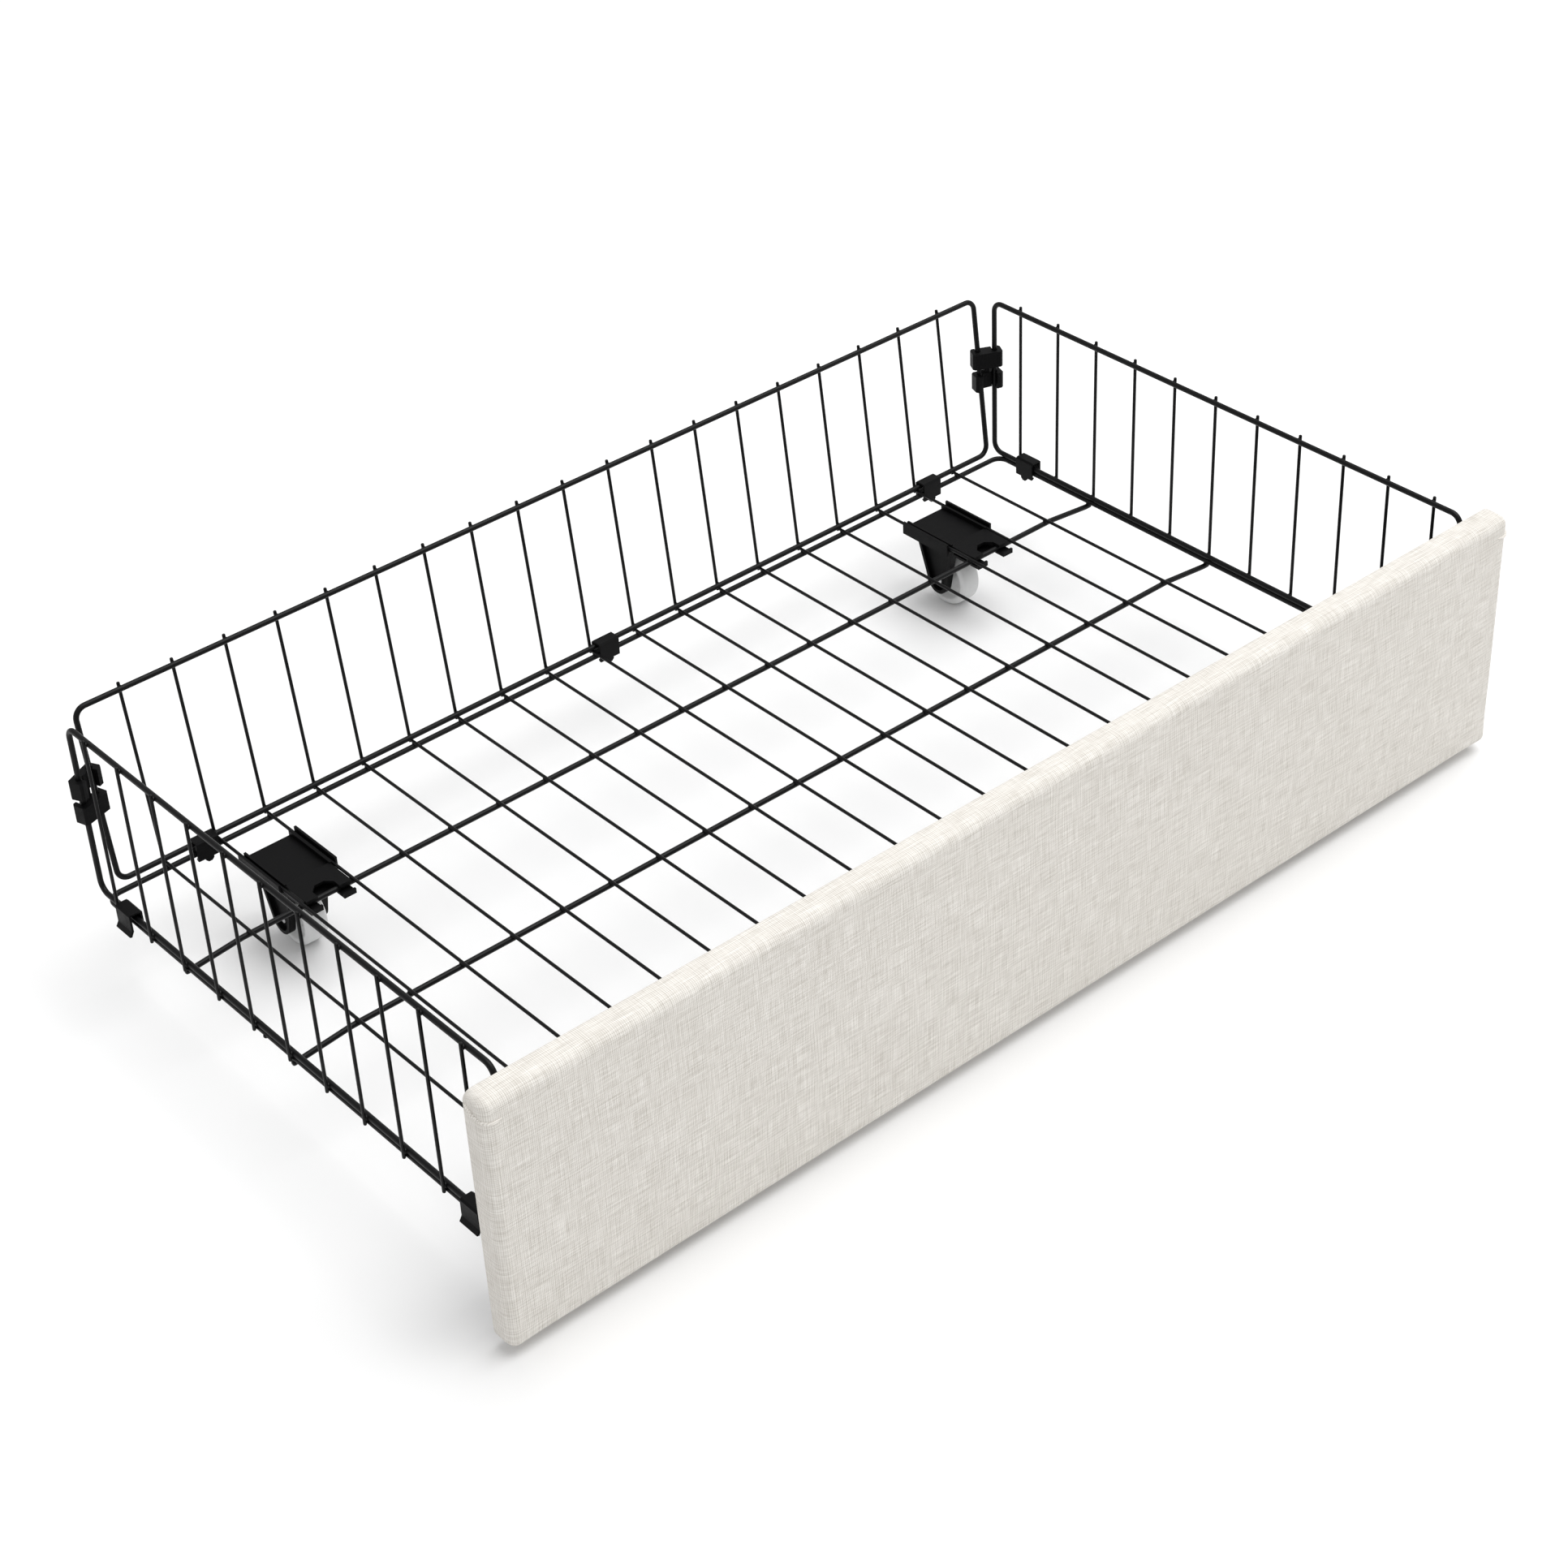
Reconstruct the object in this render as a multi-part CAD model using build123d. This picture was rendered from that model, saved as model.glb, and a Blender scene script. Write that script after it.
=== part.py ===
from build123d import *
import math
import os

# Wire stock and the grid it is welded into
rod_d = 5.0
wire_d = 3.0
stock_sides = 8
bend_steps = 4
grid_pitch = 50.0
grid_margin = 25.0
tip_above = 4.5
tip_below = 6.5

# Base: closed ring, long rods that dip under it at their ends, straight cross wires on top
ring_length = 1017.0
ring_depth = 550.0
ring_corner_r = 11.0
rear_rod_inset = 122.0
front_rod_inset = 22.0
rod_overhang = 3.0
dip_land = 4.0
dip_from_wire = 6.0
cross_wire_overhang = 3.5

# Wire panels standing on the base
panel_height = 162.0
panel_corner_r = 10.0
back_lean = 6.5
back_step = 3.0
back_rest_play = 0.2
back_inset = 14.5
side_overhang = 7.0

# Clips that tie each wire panel to the ring
clip_length = 22.0
clip_wall = 2.0
clip_edge = 1.6
clip_play = 0.2
clip_hook = 1.4
clip_hook_step = 0.8
clip_inner_drop = 3.0
clip_outer_drop = 1.0
clip_lip = 2.6
clip_lip_drop = 4.5
clip_lip_slant = 0.6
clip_tab_r = 4.0
clip_wire_gap = 1.0

# Clips that tie the side panels to the back panel at the corners
corner_clip_rise = 88.0
corner_clip_height = 40.0
corner_tier_height = 16.5
corner_wall = 4.2
corner_edge = 2.0
corner_spine = 5.0
corner_mouth = 0.76

# Casters
wheel_d = 55.0
wheel_width = 22.0
wheel_sides = 40
wheel_edge = 3.0
wheel_rim = 6.5
wheel_web = 7.0
hub_d = 19.0
hub_length = 24.4
hub_play = 0.4
axle_d = 6.0
axle_stands_out = 1.5
axle_fit = 0.05
axle_drop = 46.0
axle_behind_rod = 50.0
caster_cells_in = 1.5

# Caster brackets
bracket_rear = 87.0
bracket_rail_front = 26.0
bracket_wall = 2.2
bracket_play = 0.15
rail_inner_rise = 3.0
rail_outer_rise = 4.6
skirt_drop = 4.0
tongue_front = 4.0
tongue_t = 2.6
notch_r = 10.5
hook_width = 12.0
hook_reach = 10.0
hook_lip = 2.2
leg_t = 7.0
leg_tip_r = 12.5
leg_top_front = 28.0
leg_top_rear = 80.0
leg_rim = 3.4
leg_pocket = 4.0

# Upholstered front
front_overhang = 31.5
front_floor_gap = 8.0
front_standoff = 0.3
board_t = 15.0
foam_front_t = 7.0
foam_edge_t = 4.7
cover_t = 1.0
soft_gap = 0.3
cloth_t = 0.8
cloth_border = 12.0
hem_width = 28.0
front_crown = 2.2
front_edge_r = 9.0

# Saddles that hold the wire basket to the front
saddle_length = 14.0
saddle_wall = 2.4
saddle_flange = 11.0
saddle_play = 0.15
saddle_from_end = 42.0
ring_saddle_cell = 5.5
screw_d = 3.5
screw_head_d = 7.0
screw_head_t = 2.2
screw_bite = 12.0
screw_play = 0.15

# Heights and grid positions that follow from the sizes above
tiny = 1e-3
weld_step = (rod_d + wire_d) / 2
axle_z = wheel_d / 2
ring_z = axle_z + axle_drop
rod_end_z = ring_z - rod_d
cross_wire_z = ring_z + weld_step
side_rod_z = ring_z + rod_d
back_rod_z = cross_wire_z + weld_step + back_rest_play
ring_x = ring_length / 2
ring_y = ring_depth / 2
side_end_y = ring_y + side_overhang
back_rod_y = ring_y + back_step
back_end_x = ring_x - back_inset
cells_each_way = int((ring_x - grid_margin) / grid_pitch)
side_cells_each_way = int((ring_y - grid_margin) / grid_pitch)
across_xs = [grid_pitch * i for i in range(-cells_each_way, cells_each_way + 1)]
side_ys = [grid_pitch * i for i in range(-side_cells_each_way, side_cells_each_way + 1)]
long_rod_ys = {"rear": ring_y - rear_rod_inset, "middle": 0.0, "front": front_rod_inset - ring_y}
caster_x = (cells_each_way - caster_cells_in) * grid_pitch
front_width = ring_length + 2 * front_overhang
front_back_y = -side_end_y - rod_d / 2 - front_standoff
front_top_z = side_rod_z + panel_height
front_height = front_top_z - front_floor_gap
front_mid_z = front_floor_gap + front_height / 2

back_plane = Plane(
    origin=(0, back_rod_y, back_rod_z),
    x_dir=(-1, 0, 0),
    z_dir=(0, math.cos(math.radians(back_lean)), -math.sin(math.radians(back_lean))),
)
right_plane = Plane(origin=(ring_x, 0, side_rod_z), x_dir=(0, 1, 0), z_dir=(1, 0, 0))
left_plane = Plane(origin=(-ring_x, 0, side_rod_z), x_dir=(0, -1, 0), z_dir=(-1, 0, 0))
front_plane = Plane(origin=(0, front_back_y, front_mid_z), x_dir=(1, 0, 0), z_dir=(0, -1, 0))


def stock(diameter):
    """Section of thin round stock, with few flat sides, since there are many lengths of it."""
    return RegularPolygon(diameter / 2, stock_sides, major_radius=False, rotation=180 / stock_sides)


def bar(start, end, diameter):
    """Straight length of thin stock between two points."""
    run = Vector(*end) - Vector(*start)
    return extrude(Plane(origin=start, z_dir=run) * stock(diameter), amount=run.length)


def bent_bar(path, diameter):
    """Length of thin stock bent along a path."""
    section = Plane(origin=path @ 0, z_dir=path % 0) * stock(diameter)
    return sweep(section, path=path, transition=Transition.RIGHT)


def pin(start, end, diameter):
    """Straight turned pin, or the hole for one, between two points."""
    run = Vector(*end) - Vector(*start)
    return extrude(Plane(origin=start, z_dir=run) * Circle(diameter / 2), amount=run.length)


def rod_loop(length, height, corner_r):
    """Closed rectangle of rod with bent corners, centred on the origin of the XY plane."""
    points = []
    for quarter, (x_way, y_way) in enumerate(((1, 1), (-1, 1), (-1, -1), (1, -1))):
        for step in range(bend_steps + 1):
            turn = math.radians(90 * (quarter + step / bend_steps))
            x = x_way * (length / 2 - corner_r) + corner_r * math.cos(turn)
            y = y_way * (height / 2 - corner_r) + corner_r * math.sin(turn)
            points.append((x, y))
    return bent_bar(Polyline(*points, close=True), rod_d)


def panel_frame(plane, length):
    """Rod loop of a wire panel, standing on the middle of its bottom rod."""
    return plane * Pos(0, panel_height / 2, 0) * rod_loop(length, panel_height, panel_corner_r)


def panel_wires(plane, offsets):
    """Upright wires welded to the outer side of a panel's rods."""
    low = -tip_below
    high = panel_height + tip_above
    return [plane * bar((x, low, weld_step), (x, high, weld_step), wire_d) for x in offsets]


def base_ring():
    return Pos(0, 0, ring_z) * rod_loop(ring_length, ring_depth, ring_corner_r)


def long_rod(y):
    """Base rod level with the ring, sloping down past its last cross wires to pass under the ring."""
    start = across_xs[-1] + dip_from_wire
    land = ring_x - dip_land
    end = ring_x + rod_overhang
    half = [(start, ring_z), (land, rod_end_z), (end, rod_end_z)]
    points = [(-x, y, z) for x, z in reversed(half)] + [(x, y, z) for x, z in half]
    return bent_bar(Polyline(*points), rod_d)


def cross_wire(x):
    """Straight base wire welded on top of the ring and the long rods."""
    end = ring_y + cross_wire_overhang
    return bar((x, -end, cross_wire_z), (x, end, cross_wire_z), wire_d)


def ring_clip():
    """Moulded strap over a panel's bottom rod that snaps under the ring. Ring rod at the origin."""
    half = rod_d / 2 + clip_play
    inner = -half
    outer = half + back_step
    roof = back_rod_z - ring_z + half
    inner_low = -half - clip_inner_drop
    outer_low = -half - clip_outer_drop
    lip_low = outer_low - clip_lip_drop
    outline = Polyline(
        (inner - clip_wall, inner_low),
        (inner - clip_wall, roof + clip_wall),
        (outer + clip_wall, roof + clip_wall),
        (outer + clip_wall, outer_low),
        (outer + clip_wall + clip_lip, lip_low),
        (outer + clip_lip, lip_low - clip_lip_slant),
        (outer, outer_low),
        (outer, roof),
        (inner, roof),
        (inner, -half),
        (inner + clip_hook, -half - clip_hook_step),
        (inner + clip_hook, -half - 2 * clip_hook_step),
        (inner, inner_low),
        close=True,
    )
    face = make_face(outline)
    tops = face.vertices().filter_by(lambda v: v.Y > roof + tiny)
    strap = extrude(chamfer(tops, clip_edge), amount=clip_length / 2, both=True)
    wall = Plane(origin=(inner - clip_wall, inner_low, 0), z_dir=(1, 0, 0))
    return strap + extrude(wall * stock(2 * clip_tab_r), amount=clip_wall)


def clip_places():
    """Ring clips beside a grid wire: three along the back, two along each side."""
    offset = clip_length / 2 + wire_d / 2 + clip_wire_gap
    far_x = (cells_each_way - 1) * grid_pitch + offset
    far_y = side_cells_each_way * grid_pitch - offset
    places = {}
    for name, x in (("left", -far_x), ("middle", offset), ("right", far_x)):
        places["back_clip_" + name] = Plane(origin=(x, ring_y, ring_z), x_dir=(0, 1, 0), z_dir=(1, 0, 0))
    for end, y in (("rear", far_y), ("front", -far_y)):
        places["right_clip_" + end] = Plane(origin=(ring_x, y, ring_z), x_dir=(1, 0, 0), z_dir=(0, -1, 0))
        places["left_clip_" + end] = Plane(origin=(-ring_x, y, ring_z), x_dir=(-1, 0, 0), z_dir=(0, 1, 0))
    return places


def back_end_rod_y(z):
    """Where the back panel's leaning end rod stands at a height."""
    return back_rod_y + (z - back_rod_z) * math.tan(math.radians(back_lean))


def corner_tier(gap, bridges):
    """Section of a corner clip across two rods a gap apart, rear at positive Y.

    A bridging tier is closed in front of the rods and slit behind them.
    The other kind has a jaw round each rod and is open in front between them.
    """
    reach = rod_d / 2 + clip_play + corner_wall
    mouth = rod_d * corner_mouth
    block = Rectangle(gap + 2 * reach, 2 * reach)
    block = chamfer(block.vertices(), corner_edge)
    if not bridges:
        return block - Pos(0, -reach) * Rectangle(gap, 2 * reach)
    for rod_at in (-gap / 2, gap / 2):
        block -= Pos(rod_at, reach) * Rectangle(mouth, 2 * reach)
    return block


def corner_clip(bridge_on_top):
    """Right-hand corner clip: two tiers on a spine between the side panel's rod and the back panel's rod."""
    mid_z = back_rod_z + corner_clip_rise
    low = mid_z - corner_clip_height / 2
    high = mid_z + corner_clip_height / 2
    spine_depth = rod_d / 2 + clip_play + corner_wall
    bore = rod_d + 2 * clip_play
    side_rod = Vector(ring_x, side_end_y, 0)

    def tier_plane(z, bottom):
        back_rod = Vector(back_end_x, back_end_rod_y(z), 0)
        across = side_rod - back_rod
        middle = (side_rod + back_rod) * 0.5
        return Plane(origin=(middle.X, middle.Y, bottom), x_dir=across), across.length

    spine_plane, _ = tier_plane(mid_z, low)
    spine = Pos(0, spine_depth / 2) * Rectangle(corner_spine, spine_depth)
    body = extrude(spine_plane * spine, amount=corner_clip_height)
    for bottom, bridges in ((low, not bridge_on_top), (high - corner_tier_height, bridge_on_top)):
        plane, gap = tier_plane(bottom + corner_tier_height / 2, bottom)
        body += extrude(plane * corner_tier(gap, bridges), amount=corner_tier_height)
    body -= bar((ring_x, side_end_y, low), (ring_x, side_end_y, high), bore)
    rod_foot = (back_end_x, back_rod_y, back_rod_z)
    rod_head = (back_end_x, back_end_rod_y(front_top_z), front_top_z)
    return body - bar(rod_foot, rod_head, bore)


def wheel_disc(diameter, length):
    """Disc about the X axis. Its round has flat sides, one of them down, to keep four wheels light."""
    section = RegularPolygon(diameter / 2, wheel_sides, major_radius=False, rotation=180 / wheel_sides)
    return extrude(Plane.YZ * section, amount=length / 2, both=True)


def wheel():
    """Nylon wheel with dished sides and a longer hub, about the X axis at the origin."""
    rim_in = wheel_d - 2 * wheel_rim
    disc = wheel_disc(wheel_d, wheel_width)
    disc = chamfer(disc.edges().filter_by(Axis.X, reverse=True), wheel_edge)
    disc -= wheel_disc(rim_in, wheel_width)
    disc += wheel_disc(rim_in, wheel_web)
    disc += wheel_disc(hub_d, hub_length)
    bore_end = hub_length / 2
    return disc - pin((-bore_end, 0, 0), (bore_end, 0, 0), axle_d + 2 * axle_fit)


def axle():
    """Plain steel pin pressed through both fork legs, along the X axis."""
    half = hub_length / 2 + hub_play + leg_t - leg_pocket + axle_stands_out
    return pin((-half, 0, 0), (half, 0, 0), axle_d)


def bracket_deck_z():
    """Top of the bracket's deck above the rod it hooks on: just under the cross wires."""
    return weld_step - wire_d / 2 - bracket_play


def bracket_leg(inner_x):
    """Fork leg with a rimmed pocket on its outer face, for the side of positive X."""
    deck_low = bracket_deck_z() - bracket_wall
    tip = (axle_behind_rod, -axle_drop)
    top = Line((leg_top_front, deck_low), (leg_top_rear, deck_low))
    outline = make_hull([top, CenterArc(tip, leg_tip_r, 0, 360)])
    plane = Plane(origin=(inner_x, 0, 0), x_dir=(0, 1, 0), z_dir=(1, 0, 0))
    leg = extrude(plane * outline, amount=leg_t)
    pocket = offset(outline, amount=-leg_rim)
    outer = Plane(origin=(inner_x + leg_t - leg_pocket, 0, 0), x_dir=(0, 1, 0), z_dir=(1, 0, 0))
    return leg - extrude(outer * pocket, amount=leg_pocket)


def bracket_tray():
    """Deck with a wire channel along each side and a skirt below its outer walls."""
    deck = bracket_deck_z()
    run = bracket_rear - bracket_rail_front
    groove = wire_d / 2 + bracket_play
    wire_x = grid_pitch / 2
    half = wire_x + groove + bracket_wall
    base = deck - bracket_wall
    section = Polyline(
        (0, base),
        (half - bracket_wall, base),
        (half - bracket_wall, base - skirt_drop),
        (half, base - skirt_drop),
        (half, weld_step + rail_outer_rise),
        (wire_x + groove, weld_step + rail_outer_rise),
        (wire_x + groove, deck),
        (wire_x - groove, deck),
        (wire_x - groove, weld_step + rail_inner_rise),
        (wire_x - groove - bracket_wall, weld_step + rail_inner_rise),
        (wire_x - groove - bracket_wall, deck),
        (0, deck),
        close=True,
    )
    plane = Plane(origin=(0, bracket_rear, 0), x_dir=(1, 0, 0), z_dir=(0, -1, 0))
    side = extrude(plane * make_face(section), amount=run)
    return side + mirror(side, about=Plane.YZ)


def bracket_tongue():
    """Notched tongue over the rod, joined to a floor below it with two hooks that cradle the rod."""
    under = rod_d / 2 + bracket_play
    half = grid_pitch / 2 - wire_d / 2 - bracket_play - bracket_wall / 2
    riser = bracket_rail_front - bracket_wall
    back = bracket_rail_front + bracket_wall
    top = under + tongue_t
    tongue_outline = Polyline(
        (-tongue_front, under),
        (riser, under),
        (riser, -under),
        (under, -under),
        (under, -top),
        (back, -top),
        (back, top),
        (-tongue_front, top),
        close=True,
    )
    hook_outline = Polyline(
        (under, under),
        (under, -under),
        (hook_lip - hook_reach, -under),
        (hook_lip - hook_reach, hook_lip - under),
        (-hook_reach, hook_lip - under),
        (-hook_reach, -top),
        (top, -top),
        (top, under),
        close=True,
    )
    side_plane = Plane(origin=(0, 0, 0), x_dir=(0, 1, 0), z_dir=(1, 0, 0))
    tongue = extrude(side_plane * make_face(tongue_outline), amount=half, both=True)
    tongue -= extrude(stock(2 * notch_r), amount=2 * top)
    hook = extrude(side_plane * make_face(hook_outline), amount=hook_width)
    tongue += Pos(half - hook_width, 0, 0) * hook
    return tongue + Pos(-half, 0, 0) * hook


def bracket():
    """Moulded caster bracket. Origin on the axis of the rod it hooks on."""
    body = bracket_tray() + bracket_tongue()
    inner_x = hub_length / 2 + hub_play
    leg = bracket_leg(inner_x)
    body += leg
    body += mirror(leg, about=Plane.YZ)
    reach = inner_x + leg_t
    hole_d = axle_d + 2 * axle_fit
    return body - pin((-reach, axle_behind_rod, -axle_drop), (reach, axle_behind_rod, -axle_drop), hole_d)


def caster_places():
    """Middle of the rod between the two wires that each caster bracket holds."""
    places = {}
    for end in ("rear", "front"):
        for side, x in (("left", -caster_x), ("right", caster_x)):
            places[side + "_" + end] = Pos(x, long_rod_ys[end], ring_z)
    return places


def front_form(inset, depth):
    """Outer shape of the padded front set in by a layer, from a depth below its back to the crowned face."""
    half = front_height / 2 - inset
    edge = cloth_t + 2 * cover_t + board_t + foam_front_t + soft_gap - inset
    sides = Polyline((-edge, -half), (-depth, -half), (-depth, half), (-edge, half))
    crown = ThreePointArc((-edge, half), (-edge - front_crown, 0), (-edge, -half))
    plane = Plane(origin=(0, front_back_y, front_mid_z), x_dir=(0, 1, 0), z_dir=(1, 0, 0))
    form = extrude(plane * make_face(sides + crown), amount=front_width / 2 - inset, both=True)
    back_y = front_back_y - depth
    soft_edges = form.edges().filter_by(lambda e: e.center().Y < back_y - tiny)
    return fillet(soft_edges, front_edge_r - inset)


def front_sheet(border, thickness):
    """Flat piece on the front's back, set in from its outline by a border."""
    size = Rectangle(front_width - 2 * border, front_height - 2 * border)
    return extrude(front_plane * size, amount=thickness)


def front_board():
    edge = cover_t + soft_gap + foam_edge_t
    return Pos(0, -cloth_t - cover_t, 0) * front_sheet(edge, board_t)


def front_foam():
    return front_form(cover_t + soft_gap, cloth_t + cover_t) - front_board()


def front_cover():
    """Fabric over the foam, turned over the back edge as a hem."""
    cover = front_form(0, cloth_t) - front_form(cover_t, cloth_t + cover_t)
    return cover - front_sheet(hem_width, cloth_t + 2 * cover_t)


def saddle_places():
    """Saddles on the side panels' and the ring's front rods: x, z and whether the rod is upright."""
    low = side_rod_z + saddle_from_end
    high = side_rod_z + panel_height - saddle_from_end
    ring_at = ring_saddle_cell * grid_pitch
    return {
        "front_saddle_left_low": (-ring_x, low, True),
        "front_saddle_left_high": (-ring_x, high, True),
        "front_saddle_right_low": (ring_x, low, True),
        "front_saddle_right_high": (ring_x, high, True),
        "front_saddle_ring_left": (-ring_at, ring_z, False),
        "front_saddle_ring_right": (ring_at, ring_z, False),
    }


def screw_reach():
    """From a saddle's middle to its screws."""
    return rod_d / 2 + saddle_play + saddle_wall + saddle_flange / 2


def screw_places():
    """Centres of the screws in the front's back, two beside each saddle."""
    places = []
    for x, z, upright in saddle_places().values():
        for step in (-screw_reach(), screw_reach()):
            places.append((x + step, z) if upright else (x, z + step))
    return places


def screw_holes():
    """Clearance through the cloth, hem and board for every screw."""
    depth = cloth_t + cover_t + screw_bite
    size = screw_d + 2 * screw_play
    return [bar((x, front_back_y, z), (x, front_back_y - depth, z), size) for x, z in screw_places()]


def saddle(rod_away):
    """Strap over a rod that runs a set distance away from the front's back. Rod along the extrusion."""
    bore = rod_d / 2 + saddle_play
    arch = bore + saddle_wall
    section = Pos(0, saddle_wall / 2) * Rectangle(2 * (arch + saddle_flange), saddle_wall)
    section += Pos(0, rod_away / 2) * Rectangle(2 * arch, rod_away)
    section += Pos(0, rod_away) * stock(2 * arch)
    section -= Pos(0, rod_away / 2) * Rectangle(2 * bore, rod_away)
    section -= Pos(0, rod_away) * stock(2 * bore)
    section -= Pos(0, -arch / 2) * Rectangle(2 * arch, arch)
    strap = extrude(section, amount=saddle_length / 2, both=True)
    hole = bar((0, 0, 0), (0, saddle_wall, 0), screw_d + 2 * screw_play)
    for step in (-screw_reach(), screw_reach()):
        strap -= Pos(step, 0, 0) * hole
    return strap


def front_saddles():
    """Every saddle by name, turned to its rod."""
    side_away = rod_d / 2 + front_standoff
    ring_away = -ring_y - front_back_y
    solids = {}
    for name, (x, z, upright) in saddle_places().items():
        along = (0, 0, 1) if upright else (1, 0, 0)
        plane = Plane(origin=(x, front_back_y, z), x_dir=Vector(0, 1, 0).cross(Vector(*along)), z_dir=along)
        solids[name] = plane * saddle(side_away if upright else ring_away)
    return solids


def screws():
    """Pan-head screws on the saddle flanges, driven into the board."""
    head = front_back_y + saddle_wall
    tip = front_back_y - cloth_t - cover_t - screw_bite
    solids = []
    for x, z in screw_places():
        shank = bar((x, tip, z), (x, head, z), screw_d)
        pan = bar((x, head, z), (x, head + screw_head_t, z), screw_head_d)
        solids.append(shank + pan)
    return solids


def basket_nodes():
    return {
        "base_ring": base_ring(),
        "base_long_rods": [long_rod(y) for y in long_rod_ys.values()],
        "base_cross_wires": [cross_wire(x) for x in across_xs],
        "back_panel_frame": panel_frame(back_plane, 2 * back_end_x),
        "back_panel_wires": panel_wires(back_plane, across_xs),
        "left_panel_frame": panel_frame(left_plane, 2 * side_end_y),
        "left_panel_wires": panel_wires(left_plane, side_ys),
        "right_panel_frame": panel_frame(right_plane, 2 * side_end_y),
        "right_panel_wires": panel_wires(right_plane, side_ys),
    }


def clip_nodes():
    strap = ring_clip()
    nodes = {name: plane * strap for name, plane in clip_places().items()}
    nodes["corner_clip_right"] = corner_clip(bridge_on_top=True)
    nodes["corner_clip_left"] = mirror(corner_clip(bridge_on_top=False), about=Plane.YZ)
    return nodes


def caster_nodes():
    nodes = {}
    for place, location in caster_places().items():
        at_axle = location * Pos(0, axle_behind_rod, -axle_drop)
        nodes["caster_bracket_" + place] = location * bracket()
        nodes["caster_axle_" + place] = at_axle * axle()
        nodes["caster_wheel_" + place] = at_axle * wheel()
    return nodes


def front_nodes():
    holes = screw_holes()
    nodes = front_saddles()
    nodes["front_board"] = front_board() - holes
    nodes["front_foam"] = front_foam()
    nodes["front_cover"] = front_cover() - holes
    nodes["front_lining"] = front_sheet(cloth_border, cloth_t) - holes
    nodes["front_screws"] = screws()
    return nodes


def as_compound(shape):
    solids = shape if isinstance(shape, list) else [shape]
    return Compound(children=[solid for item in solids for solid in item.solids()])


def main():
    os.makedirs("parts", exist_ok=True)
    shapes = {**basket_nodes(), **clip_nodes(), **caster_nodes(), **front_nodes()}
    nodes = {name: as_compound(shape) for name, shape in shapes.items()}
    boxes = [shape.bounding_box() for shape in nodes.values()]
    middle = (min(box.min.Y for box in boxes) + max(box.max.Y for box in boxes)) / 2
    for name, shape in nodes.items():
        export_step(Pos(0, -middle, 0) * shape, "parts/" + name + ".step")


main()
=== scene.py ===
import math

import bmesh
import bpy
from mathutils import Matrix, Vector


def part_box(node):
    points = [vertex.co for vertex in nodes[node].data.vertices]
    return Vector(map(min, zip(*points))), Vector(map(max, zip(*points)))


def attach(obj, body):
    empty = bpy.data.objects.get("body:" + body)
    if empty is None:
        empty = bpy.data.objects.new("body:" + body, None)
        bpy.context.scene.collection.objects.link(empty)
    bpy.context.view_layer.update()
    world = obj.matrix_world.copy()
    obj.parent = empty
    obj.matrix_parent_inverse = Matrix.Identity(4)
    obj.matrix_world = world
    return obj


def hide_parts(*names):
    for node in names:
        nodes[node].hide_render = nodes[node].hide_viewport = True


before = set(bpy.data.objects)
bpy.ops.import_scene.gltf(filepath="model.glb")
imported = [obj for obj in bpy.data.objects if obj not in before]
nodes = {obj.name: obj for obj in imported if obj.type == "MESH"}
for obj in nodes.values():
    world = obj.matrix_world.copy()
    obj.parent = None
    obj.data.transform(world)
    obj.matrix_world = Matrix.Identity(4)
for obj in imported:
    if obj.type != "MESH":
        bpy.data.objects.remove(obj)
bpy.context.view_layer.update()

BODY = "drawer"
CASTERS = ("left_rear", "right_rear", "left_front", "right_front")
ALONG_X = Vector((1, 0, 0))
ALONG_Y = Vector((0, 1, 0))
UP = Vector((0, 0, 1))

# Camera of the photograph: where it stands, what it looks at and how far it is tilted
CAMERA_AT = Vector((-1.358, -1.642, 1.612))
CAMERA_AIM = Vector((-0.0477, -0.0381, 0.12))
CAMERA_ROLL = math.radians(-3.0)
CAMERA_LENS_MM = 71.27

# Light: one wide lamp overhead, an even surround, and the floor it falls on, in metres and watts
LAMP_AT = Vector((2.6, -1.0, 8.0))
LAMP_SIZE = 8.0
LAMP_POWER = 690.0
SURROUND_LIGHT = 0.61
FLOOR_SIZE = 7.0

# Sizes that the frame's boxes don't give, in metres
RING_CORNER_R = 0.011
PANEL_CORNER_R = 0.010
ROD_BEND_R = 0.030
WELD_R = 0.0023
RING_SEAM_Y = 0.043
WHEEL_WIDTH = 0.022
WHEEL_WEB = 0.007
WHEEL_RIM = 0.0065
WHEEL_EDGE_R = 0.004
WHEEL_SOFT_R = 0.0012
HUB_R = 0.0095
BORE_R = 0.00305
SCREW_HEAD_T = 0.0022
SCREW_HEAD_EDGE_R = 0.0014
SCREW_SHANK_R = 0.00175
SCREW_TIP_R = 0.0004
SCREW_RECESS_R = 0.0013
FRONT_EDGE_R = 0.0085
FRONT_CROWN = 0.0022
FRONT_CELL = 0.006
FRONT_BACK_EDGE = 0.0015
FOLD_HALF_WIDTH = 0.0018
FOLD_HALF_T = 0.0027
HEM_WIDTH = 0.012
STAPLE_PITCH = 0.075
STAPLE_LENGTH = 0.010
STAPLE_WIRE_R = 0.0004
PLASTIC_EDGE = 0.0004
PIN_EDGE = 0.0003
BOARD_EDGE = 0.0002
SAME_POINT = 1e-6

# Ratios to a size, and the least angle between faces for an edge to be softened
TILTED_REACH = 1.04
FOLD_TIP_SHARE = 0.15
HEM_SHARE = 0.45
RIPPLE_SHARE = 0.2
SOFT_ABOVE_DEG = 28.0

# The lining's two crossing ripples: how fast each one turns along X and along Z, in radians per metre
LONG_RIPPLE = (61.0, 23.0)
CROSS_RIPPLE = (-9.0, 47.0)

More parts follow.
